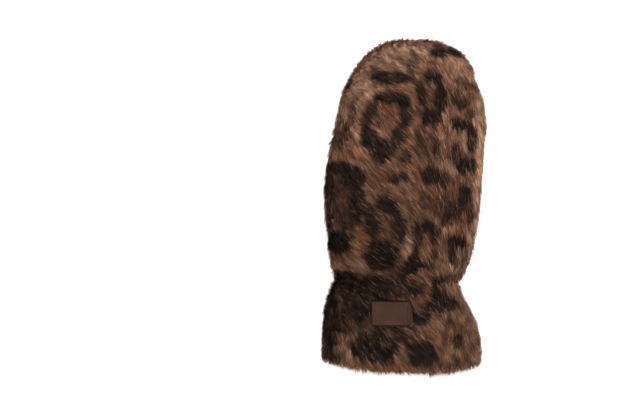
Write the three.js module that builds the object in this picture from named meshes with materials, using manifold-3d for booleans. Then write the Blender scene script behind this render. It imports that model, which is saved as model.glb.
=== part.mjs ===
// A right-hand fur mitten lying palm down with its thumb folded under the palm, in millimetres.
// +X is the little-finger side, +Y the fingertips and +Z up, and the floor is z = 0.
// Its walls are hide and felted underfur together, with tapered locks of fur fused to them.
import * as THREE from 'three';
import { mergeVertices } from 'three/addons/utils/BufferGeometryUtils.js';
import Module from 'manifold-3d';

// Hand, from the gathered wrist seam to the fingertips
const HAND_LENGTH = 202;
const HAND_WIDTH = 128;
const HAND_THICKNESS = 44;
const HAND_WALL = 8;
const TIP_HEIGHT = 13;

// Wrist seam, where hand and cuff meet
const WRIST_WIDTH = 101;
const WRIST_THICKNESS = 38;
const WRIST_HEIGHT = 20;
const GATHERS = 9;
const GATHER_DEPTH = 1.6;
const GATHER_LENGTH = 26;

// Cuff, from the wrist seam to the hem
const CUFF_LENGTH = 75;
const CUFF_WIDTH = 129;
const CUFF_THICKNESS = 46;
const CUFF_WALL = 8;
const HEM_BOW = 8.5;
const HEM_LOWEST_X = 20;
const FRINGE = 8;

// Thumb, folded flat under the palm
const THUMB_LENGTH = 136;
const THUMB_WIDTH = 50;
const THUMB_THICKNESS = 26;
const THUMB_WALL = 6.5;
const THUMB_FROM_WRIST = 26;
const THUMB_X = -27;
const THUMB_LEAN = -6;
const THUMB_HOLE_WIDTH = 30;
const THUMB_HOLE_LENGTH = 38;
const THUMB_HOLE_FROM_BASE = 42;

// Slopes with which the folded thumb lifts the hand: how far they run inside and beyond its outline
const LIFT_SIDE = { inside: 8, beyond: 30 };
const LIFT_BASE = { inside: 14, beyond: 24 };
const LIFT_TIP = { inside: 14, beyond: 32 };
const DROOP = 0.25;
const DROOP_WIDTH = 28;

// Leather label on the back of the cuff
const LABEL_LENGTH = 34;
const LABEL_HEIGHT = 20.5;
const LABEL_THICKNESS = 2.2;
const LABEL_BEVEL = 0.5;
const LABEL_CORNER = 1.6;
const LABEL_X = -9.4;
const LABEL_FROM_WRIST = 29.2;
const LABEL_SINK = 1.2;
const LABEL_ROOM = 1;
const LABEL_CLEAR = 7;

// Fur locks
const LOCK_LENGTH = 34;
const LOCK_WIDTH = 21;
const LOCK_RISE = 4.2;
const LOCK_SINK = 4;
const LOCK_ROW_PITCH = 25;
const LOCK_PITCH = 19.5;
const LOCK_STAGGER = 0.12;
const LOCK_VARIETY = 0.15;
const LOCK_OFFSET = 0.25;
const LOCK_FLOOR_CLEAR = 3;
const FEWEST_LOCKS = 5;

// Fits
const GAP = 0.3;
const PRESS = 2;

// Height up the thumb's section, as the sine of its turn, where the locks end and its bare top starts
const THUMB_LOCKS_TO = 0.3;
const THUMB_ROOM = { sides: 0.35, top: 0.75 };

// Roundness: 1 makes an elliptical section and less a squarer one
const SECTION_POWER = 0.8;
const SIDES = 36;
const HOLLOW_SIDES = 20;
const STATION_STEP = 24;
const FIELD_STEP = 14;
const END_MARGIN = 0.01;
const TANGENT_STEP = 0.01;
const AHEAD_STEP = 0.05;
const WELD = 1e-4;

// Sections from the wrist to the fingertips. at is a share of the length and shift one of the width.
// open is how far the section has grown from the wrist's size to the full one, and across and deep
// are the shares of that width and thickness that are left.
const HAND_ROWS = [
  { at: 0.0, shift: -0.036, open: 0.0, across: 1.0, deep: 1.0 },
  { at: 0.035, shift: -0.026, open: 0.26, across: 1.0, deep: 1.0 },
  { at: 0.08, shift: -0.018, open: 0.46, across: 1.0, deep: 1.0 },
  { at: 0.2, shift: -0.004, open: 0.79, across: 1.0, deep: 1.0 },
  { at: 0.367, shift: 0.003, open: 1.0, across: 1.0, deep: 1.0 },
  { at: 0.567, shift: 0.04, open: 1.0, across: 0.978, deep: 1.0 },
  { at: 0.667, shift: 0.065, open: 1.0, across: 0.951, deep: 0.99 },
  { at: 0.767, shift: 0.069, open: 1.0, across: 0.889, deep: 0.96 },
  { at: 0.833, shift: 0.069, open: 1.0, across: 0.81, deep: 0.91 },
  { at: 0.9, shift: 0.08, open: 1.0, across: 0.704, deep: 0.82 },
  { at: 0.94, shift: 0.082, open: 1.0, across: 0.6, deep: 0.72 },
  { at: 0.967, shift: 0.077, open: 1.0, across: 0.465, deep: 0.58 },
  { at: 0.988, shift: 0.067, open: 1.0, across: 0.28, deep: 0.38 },
  { at: 1.0, shift: 0.057, open: 1.0, across: 0.0, deep: 0.0 },
];

// Sections from the wrist to the hem, with the same columns
const CUFF_ROWS = [
  { at: 0.0, shift: -0.036, open: 0.0, across: 1.0, deep: 1.0 },
  { at: 0.06, shift: -0.042, open: 0.12, across: 1.0, deep: 1.0 },
  { at: 0.18, shift: -0.045, open: 0.3, across: 1.0, deep: 1.0 },
  { at: 0.36, shift: -0.036, open: 0.56, across: 1.0, deep: 1.0 },
  { at: 0.54, shift: -0.02, open: 0.8, across: 1.0, deep: 1.0 },
  { at: 0.75, shift: -0.01, open: 1.0, across: 1.0, deep: 1.0 },
  { at: 0.92, shift: -0.008, open: 1.0, across: 0.99, deep: 0.98 },
  { at: 1.0, shift: -0.006, open: 1.0, across: 0.955, deep: 0.93 },
];

// Sections from the thumb's base to its tip
const THUMB_ROWS = [
  { at: 0.0, across: 0.0, deep: 0.0 },
  { at: 0.02, across: 0.36, deep: 0.4 },
  { at: 0.06, across: 0.62, deep: 0.68 },
  { at: 0.13, across: 0.84, deep: 0.88 },
  { at: 0.24, across: 0.98, deep: 1.0 },
  { at: 0.45, across: 1.0, deep: 1.0 },
  { at: 0.66, across: 0.97, deep: 1.0 },
  { at: 0.8, across: 0.88, deep: 0.95 },
  { at: 0.9, across: 0.72, deep: 0.82 },
  { at: 0.96, across: 0.5, deep: 0.62 },
  { at: 0.99, across: 0.26, deep: 0.36 },
  { at: 1.0, across: 0.0, deep: 0.0 },
];

// Lie of the fur on the back: at is the share of the mitten's length below the fingertips, and left,
// middle and right are degrees from straight down towards +X at those places across it
const LIE_ROWS = [
  { at: 0.0, left: 60, middle: 35, right: 10 },
  { at: 0.3, left: 50, middle: 30, right: 5 },
  { at: 0.6, left: 50, middle: 30, right: 0 },
  { at: 0.7, left: 65, middle: 25, right: -20 },
  { at: 0.82, left: 20, middle: 25, right: -10 },
  { at: 1.0, left: 5, middle: 25, right: -35 },
];

// Lock's sections from its root: width, and the place of its edges below and its ridge above the hide
const LOCK_ROWS = [
  { at: 0.0, wide: 0.55, edge: 1.0, ridge: 0.1 },
  { at: 0.55, wide: 1.0, edge: 0.8, ridge: 1.0 },
];
const LOCK_TIP = 0.6;

// First and last row of locks, as shares of each part's length
const LOCK_SPANS = {
  hand: { from: 0.965, to: 0.05 },
  cuff: { from: 0.03, to: 1 - (LOCK_LENGTH - FRINGE) / CUFF_LENGTH },
  thumb: { from: 0.93, to: 0.32 },
};

// Places that follow from the sizes
const WRIST_Y = (CUFF_LENGTH + FRINGE - HAND_LENGTH - LOCK_RISE) / 2;
const THUMB_START_Y = WRIST_Y + THUMB_FROM_WRIST;
const THUMB_END_Y = THUMB_START_Y + THUMB_LENGTH;
const HOLE_Y = THUMB_START_Y + THUMB_HOLE_FROM_BASE;
const LABEL_Y = WRIST_Y - LABEL_FROM_WRIST;
const TIP_Y = WRIST_Y + HAND_LENGTH;
const REACH = HAND_WIDTH + CUFF_WIDTH + HAND_LENGTH;

const { clamp, degToRad, lerp, smoothstep } = THREE.MathUtils;
const wasm = await Module();
wasm.setup();

// Tables

// A table's columns at a share of its length
function rowAt(rows, share) {
  const at = clamp(share, 0, 1);
  const next = Math.max(1, rows.findIndex((row) => row.at >= at));
  const [a, b] = [rows[next - 1], rows[next]];
  const between = (at - a.at) / (b.at - a.at);
  return Object.fromEntries(Object.keys(a).map((name) => [name, lerp(a[name], b[name], between)]));
}

// The shares of a table's rows, with more between them where they are far apart
function stations(rows, length) {
  const shares = [rows[0].at];
  rows.slice(1).forEach((row, i) => {
    const steps = Math.ceil(((row.at - rows[i].at) * length) / STATION_STEP);
    for (let k = 1; k <= steps; k += 1) shares.push(lerp(rows[i].at, row.at, k / steps));
  });
  return shares;
}

// A small number between -1 and 1 that is the same each time for the same count
function wobble(count) {
  const value = Math.sin(count * 12.9898) * 43758.5453;
  return 2 * (value - Math.floor(value)) - 1;
}

// Surfaces

// A rounded section's point as shares of its half width and half thickness
function rounded(turn) {
  const [c, s] = [Math.cos(turn), Math.sin(turn)];
  return [Math.sign(c) * Math.abs(c) ** SECTION_POWER, Math.sign(s) * Math.abs(s) ** SECTION_POWER];
}

// Gathers fade out on both sides of the wrist seam
function gather(fromWrist, turn) {
  return GATHER_DEPTH * Math.cos(GATHERS * turn) * (1 - smoothstep(fromWrist, 0, GATHER_LENGTH));
}

// Height that the folded thumb lifts the palm and the back by
function liftAt(x, y) {
  const right = THUMB_X + THUMB_WIDTH / 2;
  const across = 1 - smoothstep(x, right - LIFT_SIDE.inside, right + LIFT_SIDE.beyond);
  const droop = 1 - DROOP * (1 - smoothstep(x, -HAND_WIDTH / 2, -HAND_WIDTH / 2 + DROOP_WIDTH));
  const rising = smoothstep(y, THUMB_START_Y - LIFT_BASE.beyond, THUMB_START_Y + LIFT_BASE.inside);
  const falling = 1 - smoothstep(y, THUMB_END_Y - LIFT_TIP.inside, THUMB_END_Y + LIFT_TIP.beyond);
  return THUMB_THICKNESS * across * droop * rising * falling;
}

// Height of the side seam between back and palm, which is the middle of the hand's section
function seamHeight(x, y) {
  const row = rowAt(HAND_ROWS, (y - WRIST_Y) / HAND_LENGTH);
  const low = Math.max((HAND_THICKNESS * row.deep) / 2, TIP_HEIGHT) - PRESS;
  return lerp(WRIST_HEIGHT, low, row.open) + liftAt(x, y);
}

function handPoint(at, turn, inset = 0) {
  const row = rowAt(HAND_ROWS, at);
  const fold = inset ? -inset : gather(at * HAND_LENGTH, turn);
  const halfWidth = (lerp(WRIST_WIDTH, HAND_WIDTH, row.open) * row.across) / 2 + fold;
  const halfThick = (lerp(WRIST_THICKNESS, HAND_THICKNESS, row.open) * row.deep) / 2 + fold;
  const [across, up] = rounded(turn);
  const x = row.shift * HAND_WIDTH + across * halfWidth;
  const y = WRIST_Y + at * HAND_LENGTH;
  return new THREE.Vector3(x, y, seamHeight(x, y) + up * halfThick);
}

function cuffPoint(at, turn, inset = 0) {
  const row = rowAt(CUFF_ROWS, at);
  const fold = inset ? -inset : gather(at * CUFF_LENGTH, turn);
  const halfWidth = (lerp(WRIST_WIDTH, CUFF_WIDTH, row.open) * row.across) / 2 + fold;
  const halfThick = (lerp(WRIST_THICKNESS, CUFF_THICKNESS, row.open) * row.deep) / 2 + fold;
  const [across, up] = rounded(turn);
  const x = row.shift * CUFF_WIDTH + across * halfWidth;
  const middle = lerp(WRIST_HEIGHT, (CUFF_THICKNESS * row.deep) / 2 - PRESS, row.open);
  return new THREE.Vector3(x, WRIST_Y - at * cuffReach(x), middle + up * halfThick);
}

// The hem is bowed and longest a little to the right, so that it slants up to the left
function cuffReach(x) {
  return CUFF_LENGTH - HEM_BOW * ((2 * (x - HEM_LOWEST_X)) / CUFF_WIDTH) ** 2;
}

function thumbPoint(at, turn, grown = 0, lengthened = 0) {
  const row = rowAt(THUMB_ROWS, at);
  const halfWidth = (THUMB_WIDTH * row.across) / 2 + grown;
  const halfThick = (THUMB_THICKNESS * row.deep) / 2 + grown;
  const [across, up] = rounded(turn);
  const x = THUMB_X + THUMB_LEAN * (at - 0.5) + across * halfWidth;
  const y = THUMB_START_Y - lengthened + at * (THUMB_LENGTH + 2 * lengthened);
  const middle = Math.max((THUMB_THICKNESS * row.deep) / 2, THUMB_THICKNESS / 3) - PRESS;
  return new THREE.Vector3(x, y, middle + up * halfThick);
}

// Solids

// A closed solid from points and triangles
function solidOf(points, triangles) {
  const mesh = new wasm.Mesh({
    numProp: 3,
    vertProperties: new Float32Array(points.flatMap((point) => point.toArray())),
    triVerts: new Uint32Array(triangles.flat()),
  });
  return new wasm.Manifold(mesh);
}

// A closed solid from a geometry that has been put in place
function solidFrom(geometry) {
  const bare = geometry.clone();
  bare.deleteAttribute('normal');
  bare.deleteAttribute('uv');
  const merged = mergeVertices(bare, WELD);
  const mesh = new wasm.Mesh({
    numProp: 3,
    vertProperties: merged.attributes.position.array,
    triVerts: new Uint32Array(merged.index.array),
  });
  return new wasm.Manifold(mesh);
}

function geometryOf(solid) {
  const mesh = solid.getMesh();
  const geometry = new THREE.BufferGeometry();
  geometry.setAttribute('position', new THREE.BufferAttribute(mesh.vertProperties, 3));
  geometry.setIndex(new THREE.BufferAttribute(mesh.triVerts, 1));
  geometry.computeVertexNormals();
  return geometry;
}

// A solid through sections in the order of +Y, each closed in the middle at the two ends
function loft(pointAt, shares, sides) {
  const points = [];
  const triangles = [];
  shares.forEach((at) => {
    for (let j = 0; j < sides; j += 1) points.push(pointAt(at, (2 * Math.PI * j) / sides));
  });
  const ring = (i, j) => i * sides + (j % sides);
  for (let i = 0; i + 1 < shares.length; i += 1) {
    for (let j = 0; j < sides; j += 1) {
      triangles.push([ring(i, j), ring(i + 1, j), ring(i, j + 1)]);
      triangles.push([ring(i, j + 1), ring(i + 1, j), ring(i + 1, j + 1)]);
    }
  }
  const last = shares.length - 1;
  const middleOf = (i) => {
    const sum = new THREE.Vector3();
    for (let j = 0; j < sides; j += 1) sum.add(points[ring(i, j)]);
    points.push(sum.divideScalar(sides));
    return points.length - 1;
  };
  const [first, end] = [middleOf(0), middleOf(last)];
  for (let j = 0; j < sides; j += 1) {
    triangles.push([first, ring(0, j), ring(0, j + 1)]);
    triangles.push([end, ring(last, j + 1), ring(last, j)]);
  }
  const geometry = new THREE.BufferGeometry().setFromPoints(points);
  geometry.setIndex(triangles.flat());
  return solidFrom(geometry);
}

// A solid between two height fields over a rectangle
function field(low, high, [left, right], [front, back]) {
  const across = Math.ceil((right - left) / FIELD_STEP);
  const along = Math.ceil((back - front) / FIELD_STEP);
  const points = [];
  [low, high].forEach((height) => {
    for (let i = 0; i <= across; i += 1) {
      for (let j = 0; j <= along; j += 1) {
        const [x, y] = [lerp(left, right, i / across), lerp(front, back, j / along)];
        points.push(new THREE.Vector3(x, y, height(x, y)));
      }
    }
  });
  const layer = (across + 1) * (along + 1);
  const spot = (level, i, j) => level * layer + i * (along + 1) + j;
  const triangles = [];
  const quad = (a, b, c, d) => triangles.push([a, b, c], [a, c, d]);
  for (let i = 0; i < across; i += 1) {
    for (let j = 0; j < along; j += 1) {
      quad(spot(1, i, j), spot(1, i + 1, j), spot(1, i + 1, j + 1), spot(1, i, j + 1));
      quad(spot(0, i, j), spot(0, i, j + 1), spot(0, i + 1, j + 1), spot(0, i + 1, j));
    }
    quad(spot(0, i, 0), spot(0, i + 1, 0), spot(1, i + 1, 0), spot(1, i, 0));
    quad(spot(0, i + 1, along), spot(0, i, along), spot(1, i, along), spot(1, i + 1, along));
  }
  for (let j = 0; j < along; j += 1) {
    quad(spot(0, 0, j + 1), spot(0, 0, j), spot(1, 0, j), spot(1, 0, j + 1));
    quad(spot(0, across, j), spot(0, across, j + 1), spot(1, across, j + 1), spot(1, across, j));
  }
  return solidOf(points, triangles);
}

// An upright elliptical plug
function plug(width, length, x, y, low, high) {
  const geometry = new THREE.CylinderGeometry(0.5, 0.5, high - low, SIDES);
  geometry.rotateX(Math.PI / 2);
  geometry.scale(width, length, 1);
  geometry.translate(x, y, (low + high) / 2);
  return solidFrom(geometry);
}

// Fur

// A surface's point, outward normal and tangents
function frameAt(surface, at, turn) {
  const step = TANGENT_STEP;
  const point = surface(at, turn);
  const along = surface(at + step, turn).sub(surface(at - step, turn)).divideScalar(2 * step);
  const round = surface(at, turn + step).sub(surface(at, turn - step)).divideScalar(2 * step);
  const normal = along.clone().cross(round).normalize();
  const middle = surface(at, turn + Math.PI).add(point).divideScalar(2);
  if (normal.dot(point.clone().sub(middle)) < 0) normal.negate();
  return { point, normal, along, round };
}

// The change of at and turn that follows a direction over the surface for a length
function stepAlong({ along, round }, direction, length) {
  const [aa, ar, rr] = [along.dot(along), along.dot(round), round.dot(round)];
  const [da, dr] = [direction.dot(along), direction.dot(round)];
  const scale = aa * rr - ar * ar;
  const [at, turn] = [(da * rr - dr * ar) / scale, (dr * aa - da * ar) / scale];
  const run = along.clone().multiplyScalar(at).addScaledVector(round, turn).length();
  return { at: (at * length) / run, turn: (turn * length) / run };
}

// Direction in which the fur lies at a point
function lieAt({ x, y, z }, underside) {
  if (underside) return new THREE.Vector3(0, -1, 0);
  const row = rowAt(LIE_ROWS, (TIP_Y - y) / (HAND_LENGTH + CUFF_LENGTH));
  const side = clamp((2 * x) / HAND_WIDTH, -1, 1);
  const degrees = side < 0 ? lerp(row.middle, row.left, -side) : lerp(row.middle, row.right, side);
  return new THREE.Vector3(Math.sin(degToRad(degrees)), -Math.cos(degToRad(degrees)), 0);
}

// The solid of one lock and the places of its root, belly and tip
function lock(surface, at, turn, length) {
  const underside = Math.sin(turn) < 0;
  const root = frameAt(surface, at, turn);
  const run = stepAlong(root, lieAt(root.point, underside), length);
  const points = [];
  const spine = [];
  LOCK_ROWS.forEach((row) => {
    const { point, normal } = frameAt(surface, at + run.at * row.at, turn + run.turn * row.at);
    const further = row.at + AHEAD_STEP;
    const ahead = surface(at + run.at * further, turn + run.turn * further);
    const side = ahead.sub(point).cross(normal).normalize().multiplyScalar((LOCK_WIDTH * row.wide) / 2);
    const edge = point.clone().addScaledVector(normal, -LOCK_SINK * row.edge);
    points.push(edge.clone().sub(side), point.clone().addScaledVector(normal, LOCK_RISE * row.ridge));
    points.push(edge.clone().add(side));
    spine.push(point);
  });
  const end = frameAt(surface, at + run.at, turn + run.turn);
  points.push(end.point.clone().addScaledVector(end.normal, LOCK_RISE * LOCK_TIP));
  points.push(end.point.clone().addScaledVector(end.normal, -LOCK_SINK));
  spine.push(end.point);
  const triangles = [[0, 2, 1], [3, 4, 6], [3, 6, 7], [4, 5, 7], [4, 7, 6], [5, 3, 7]];
  [[0, 1], [1, 2], [2, 0]].forEach(([a, b]) => {
    triangles.push([a, b, a + 3], [b, b + 3, a + 3]);
  });
  return { solid: solidOf(points, triangles), spine };
}

// Turns that share a section's outline out evenly
function evenTurns(surface, at, offset) {
  const fine = 8 * SIDES;
  const lengths = [0];
  for (let j = 0; j < fine; j += 1) {
    const [a, b] = [j, j + 1].map((k) => surface(at, (2 * Math.PI * k) / fine));
    lengths.push(lengths[j] + a.distanceTo(b));
  }
  const count = Math.max(FEWEST_LOCKS, Math.round(lengths[fine] / LOCK_PITCH));
  return Array.from({ length: count }, (_, k) => {
    const wanted = (lengths[fine] * ((k + offset) % count)) / count;
    return (2 * Math.PI * lengths.findIndex((value) => value >= wanted)) / fine;
  });
}

// Locks in staggered rows over a surface, from share to share of its length
function locksOver(surface, { from, to }, length) {
  const rows = Math.round((Math.abs(to - from) * length) / LOCK_ROW_PITCH);
  const found = [];
  for (let i = 0; i <= rows; i += 1) {
    const rowShare = lerp(from, to, i / rows);
    evenTurns(surface, rowShare, LOCK_OFFSET + (i % 2) / 2).forEach((turn) => {
      const count = found.length;
      const at = rowShare + (LOCK_STAGGER * wobble(count) * LOCK_ROW_PITCH) / length;
      const reach = LOCK_LENGTH * (1 + LOCK_VARIETY * wobble(count + 0.5));
      found.push({ turn, ...lock(surface, at, turn, reach) });
    });
  }
  return found;
}

function clearOfFloor({ spine }) {
  return spine.every((point) => point.z > LOCK_FLOOR_CLEAR);
}

function clearOfThumb({ turn, spine }) {
  const room = (THUMB_WIDTH + LOCK_WIDTH) / 2 + LOCK_RISE;
  const alongIt = ({ y }) => y > THUMB_START_Y - room && y < THUMB_END_Y + room;
  const over = (point) => alongIt(point) && Math.abs(point.x - THUMB_X) < room;
  return Math.sin(turn) > 0 || !spine.some(over);
}

function clearOfLabel({ turn, spine }) {
  const [roomX, roomY] = [(LABEL_LENGTH + LOCK_WIDTH) / 2, LABEL_HEIGHT / 2 + LABEL_CLEAR];
  const over = ({ x, y }) => Math.abs(x - LABEL_X) < roomX && Math.abs(y - LABEL_Y) < roomY;
  return Math.sin(turn) < 0 || !spine.some(over);
}

function withLocks(solid, locks) {
  return locks.reduce((sum, each) => sum.add(each.solid), solid);
}

// Parts

const everywhere = [-REACH, REACH];
const aboveFloor = (front, back) => field(() => 0, () => REACH, everywhere, [front, back]);

function hollowHand() {
  const tip = 1 - HAND_WALL / HAND_LENGTH;
  const inside = stations(HAND_ROWS, HAND_LENGTH).filter((at) => at > 0 && at < tip - END_MARGIN);
  const shares = [-GATHER_LENGTH / HAND_LENGTH, 0, ...inside, tip];
  return loft((at, turn) => handPoint(at, turn, HAND_WALL), shares, HOLLOW_SIDES);
}

function thumbHole(low, high) {
  return plug(THUMB_HOLE_WIDTH, THUMB_HOLE_LENGTH, THUMB_X, HOLE_Y, low, high);
}

// The thumb with room for its locks at its sides, and only the gap left where it carries the palm
function thumbRoom() {
  const sides = GAP + LOCK_RISE;
  const grown = (turn) => lerp(sides, GAP, smoothstep(Math.sin(turn), THUMB_ROOM.sides, THUMB_ROOM.top));
  const pointAt = (at, turn) => thumbPoint(at, turn, grown(turn), sides);
  return loft(pointAt, stations(THUMB_ROWS, THUMB_LENGTH), SIDES);
}

const handLocks = locksOver(handPoint, LOCK_SPANS.hand, HAND_LENGTH);
const handBody = loft(handPoint, stations(HAND_ROWS, HAND_LENGTH), SIDES).subtract(hollowHand());
const handSpan = [WRIST_Y + GAP / 2, REACH];
const overSeam = field((x, y) => seamHeight(x, y) + GAP / 2, () => REACH, everywhere, handSpan);
const underSeam = field(() => 0, (x, y) => seamHeight(x, y) - GAP / 2, everywhere, handSpan);

function backPanel() {
  const locks = handLocks.filter(({ turn }) => Math.sin(turn) > 0);
  return withLocks(handBody, locks).intersect(overSeam);
}

function palmPanel() {
  const under = handLocks.filter(({ turn }) => Math.sin(turn) <= 0);
  const locks = under.filter(clearOfFloor).filter(clearOfThumb);
  const panel = withLocks(handBody, locks).intersect(underSeam);
  return panel.subtract(thumbRoom()).subtract(thumbHole(THUMB_THICKNESS / 2, HAND_THICKNESS));
}

function thumb() {
  const shares = stations(THUMB_ROWS, THUMB_LENGTH);
  const ends = THUMB_WALL / THUMB_LENGTH;
  const inside = shares.filter((at) => at > ends + END_MARGIN && at < 1 - ends - END_MARGIN);
  const hollow = loft(
    (at, turn) => thumbPoint(at, turn, -THUMB_WALL),
    [ends, ...inside, 1 - ends],
    HOLLOW_SIDES,
  );
  const locks = locksOver(thumbPoint, LOCK_SPANS.thumb, THUMB_LENGTH);
  const kept = locks.filter(({ turn }) => Math.sin(turn) < THUMB_LOCKS_TO).filter(clearOfFloor);
  const body = withLocks(loft(thumbPoint, shares, SIDES), kept).subtract(hollow);
  return body
    .subtract(thumbHole(THUMB_THICKNESS / 2 - PRESS, HAND_THICKNESS))
    .intersect(aboveFloor(-REACH, REACH));
}

// The label's place on the cuff and its tilt along the cuff's slope
function labelSeat() {
  const heightAt = (y) => {
    const at = (WRIST_Y - y) / cuffReach(LABEL_X);
    return cuffPoint(at, Math.PI / 2).z;
  };
  const [upper, lower] = [LABEL_Y + LABEL_HEIGHT / 2, LABEL_Y - LABEL_HEIGHT / 2];
  const tilt = Math.atan2(heightAt(upper) - heightAt(lower), LABEL_HEIGHT);
  const height = (heightAt(upper) + heightAt(lower)) / 2 - LABEL_SINK;
  return { position: new THREE.Vector3(LABEL_X, LABEL_Y, height), tilt };
}

function labelShape(margin) {
  const [halfLength, halfHeight] = [LABEL_LENGTH / 2 + margin, LABEL_HEIGHT / 2 + margin];
  const radius = LABEL_CORNER + margin;
  const shape = new THREE.Shape();
  shape.moveTo(-halfLength + radius, -halfHeight);
  shape.absarc(halfLength - radius, -halfHeight + radius, radius, -Math.PI / 2, 0);
  shape.absarc(halfLength - radius, halfHeight - radius, radius, 0, Math.PI / 2);
  shape.absarc(-halfLength + radius, halfHeight - radius, radius, Math.PI / 2, Math.PI);
  shape.absarc(-halfLength + radius, -halfHeight + radius, radius, Math.PI, 1.5 * Math.PI);
  return shape;
}

// The label's own room in the pile, from its underside up
function labelRoom() {
  const { position, tilt } = labelSeat();
  const options = { depth: CUFF_THICKNESS, bevelEnabled: false, curveSegments: 4 };
  const geometry = new THREE.ExtrudeGeometry(labelShape(LABEL_ROOM), options);
  geometry.translate(0, 0, -GAP);
  geometry.rotateX(tilt);
  geometry.translate(position.x, position.y, position.z);
  return solidFrom(geometry);
}

function cuff() {
  const shares = stations(CUFF_ROWS, CUFF_LENGTH).reverse();
  const beyond = FRINGE / CUFF_LENGTH;
  const inside = [1 + beyond, ...shares, -beyond];
  const body = loft(cuffPoint, shares, SIDES);
  const hollow = loft((at, turn) => cuffPoint(at, turn, CUFF_WALL), inside, HOLLOW_SIDES);
  const locks = locksOver(cuffPoint, LOCK_SPANS.cuff, CUFF_LENGTH);
  const kept = locks.filter(clearOfFloor).filter(clearOfLabel);
  return withLocks(body.subtract(hollow), kept)
    .subtract(labelRoom())
    .intersect(aboveFloor(-REACH, WRIST_Y - GAP / 2));
}

function leatherLabel() {
  const options = {
    depth: LABEL_THICKNESS - 2 * LABEL_BEVEL,
    bevelThickness: LABEL_BEVEL,
    bevelSize: LABEL_BEVEL,
    bevelOffset: -LABEL_BEVEL,
    bevelSegments: 2,
    curveSegments: 4,
  };
  return new THREE.ExtrudeGeometry(labelShape(0), options).translate(0, 0, LABEL_BEVEL);
}

// Scene

const FINISHES = {
  fur: { color: 0x7a5a45, roughness: 1, metalness: 0 },
  leather: { color: 0x4a352c, roughness: 0.55, metalness: 0 },
};

const group = new THREE.Group();

function put(name, geometry, finish) {
  const mesh = new THREE.Mesh(geometry, new THREE.MeshStandardMaterial(FINISHES[finish]));
  mesh.name = name;
  group.add(mesh);
  return mesh;
}

put('back_panel', geometryOf(backPanel()), 'fur');
put('palm_panel', geometryOf(palmPanel()), 'fur');
put('thumb', geometryOf(thumb()), 'fur');
put('cuff', geometryOf(cuff()), 'fur');

const label = put('leather_label', leatherLabel(), 'leather');
const seat = labelSeat();
label.position.copy(seat.position);
label.rotation.x = seat.tilt;

// The middle of everything, locks included, is put over the origin
group.updateMatrixWorld(true);
const middle = new THREE.Box3().setFromObject(group).getCenter(new THREE.Vector3());
group.position.set(-middle.x, -middle.y, 0);

export default group;
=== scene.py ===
"""A fur mitten lying palm down: hide shells, a combed pile of blade strands and a leather label."""

import math

import bmesh
import bpy
import numpy as np
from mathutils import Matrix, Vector


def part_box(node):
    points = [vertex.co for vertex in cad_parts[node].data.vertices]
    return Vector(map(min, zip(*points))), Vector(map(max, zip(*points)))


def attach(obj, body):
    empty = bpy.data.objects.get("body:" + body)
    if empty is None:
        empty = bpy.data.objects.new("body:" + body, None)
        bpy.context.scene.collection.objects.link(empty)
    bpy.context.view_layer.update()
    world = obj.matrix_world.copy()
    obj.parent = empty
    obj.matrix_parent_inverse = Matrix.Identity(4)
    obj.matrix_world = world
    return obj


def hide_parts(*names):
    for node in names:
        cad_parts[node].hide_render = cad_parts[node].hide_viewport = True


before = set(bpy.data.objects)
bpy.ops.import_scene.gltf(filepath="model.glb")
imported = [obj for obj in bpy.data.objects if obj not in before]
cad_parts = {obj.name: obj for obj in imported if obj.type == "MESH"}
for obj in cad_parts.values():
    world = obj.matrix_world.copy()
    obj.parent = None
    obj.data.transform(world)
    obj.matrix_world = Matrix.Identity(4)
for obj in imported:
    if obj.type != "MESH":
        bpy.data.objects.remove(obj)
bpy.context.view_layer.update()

MM = 0.001

# Sizes in millimetres. The cuff's length, the hem, the fingertips and the sections below follow the
# photograph's outline a little more closely than the solids do. +X is the little-finger side and +Y the
# fingertips.
HAND_LENGTH = 202
HAND_WIDTH = 128
HAND_THICKNESS = 44
TIP_HEIGHT = 13
TIP_PLUMP = 2.7
WRIST_WIDTH = 101
WRIST_THICKNESS = 38
WRIST_HEIGHT = 20
WRIST_Y = -61.6
CUFF_LENGTH = 72
CUFF_WIDTH = 129
CUFF_THICKNESS = 46
HEM_BOW = 7.5
HEM_LOWEST_X = 8
THUMB_LENGTH = 136
THUMB_WIDTH = 50
THUMB_THICKNESS = 26
THUMB_FROM_WRIST = 26
THUMB_START_Y = WRIST_Y + THUMB_FROM_WRIST
THUMB_END_Y = THUMB_START_Y + THUMB_LENGTH
THUMB_X = -27
THUMB_LEAN = -6
THUMB_END_HEIGHT = THUMB_THICKNESS / 3
HOLE_WIDTH = 30
HOLE_LENGTH = 38
HOLE_FROM_BASE = 42
HOLE_Y = THUMB_START_Y + HOLE_FROM_BASE
HOLE_SIDES = 48
HOLE_MARGIN = 1.1
HOLE_FACING = 0.5

# Roundness of the sections, and how far a deeper layer draws back at a rounded end
SECTION_POWER = 0.8
END_DRAW = 0.8
TIP_POWER = 4

# Press of the underside on the floor, depths below the solids' outer face and room over the floor, in
# millimetres
PRESS = 2
HIDE_DEPTH = 1.4
LINING_DEPTH = 8.0
FLOOR_CLEARANCE = 0.35
FLOOR_SPREAD = 0.3

# Gathers at the wrist: folds round the mitten, their phase and their share of the height
GATHER_HEIGHT = 1.2
GATHER_REACH = 24
GATHER_WAVES = [
    (9, 0.0, 1.0),
    (14, 1.3, 0.6),
    (5, 0.6, 0.5),
]

# Slopes with which the thumb lifts the hand: how far they run inside and beyond its outline. The hand's
# edge beside the thumb droops by a share of the lift, over a width.
LIFT_SIDE = {"inside": 8, "beyond": 30}
LIFT_BASE = {"inside": 14, "beyond": 24}
LIFT_TIP = {"inside": 14, "beyond": 32}
DROOP = 0.25
DROOP_WIDTH = 28

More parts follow.
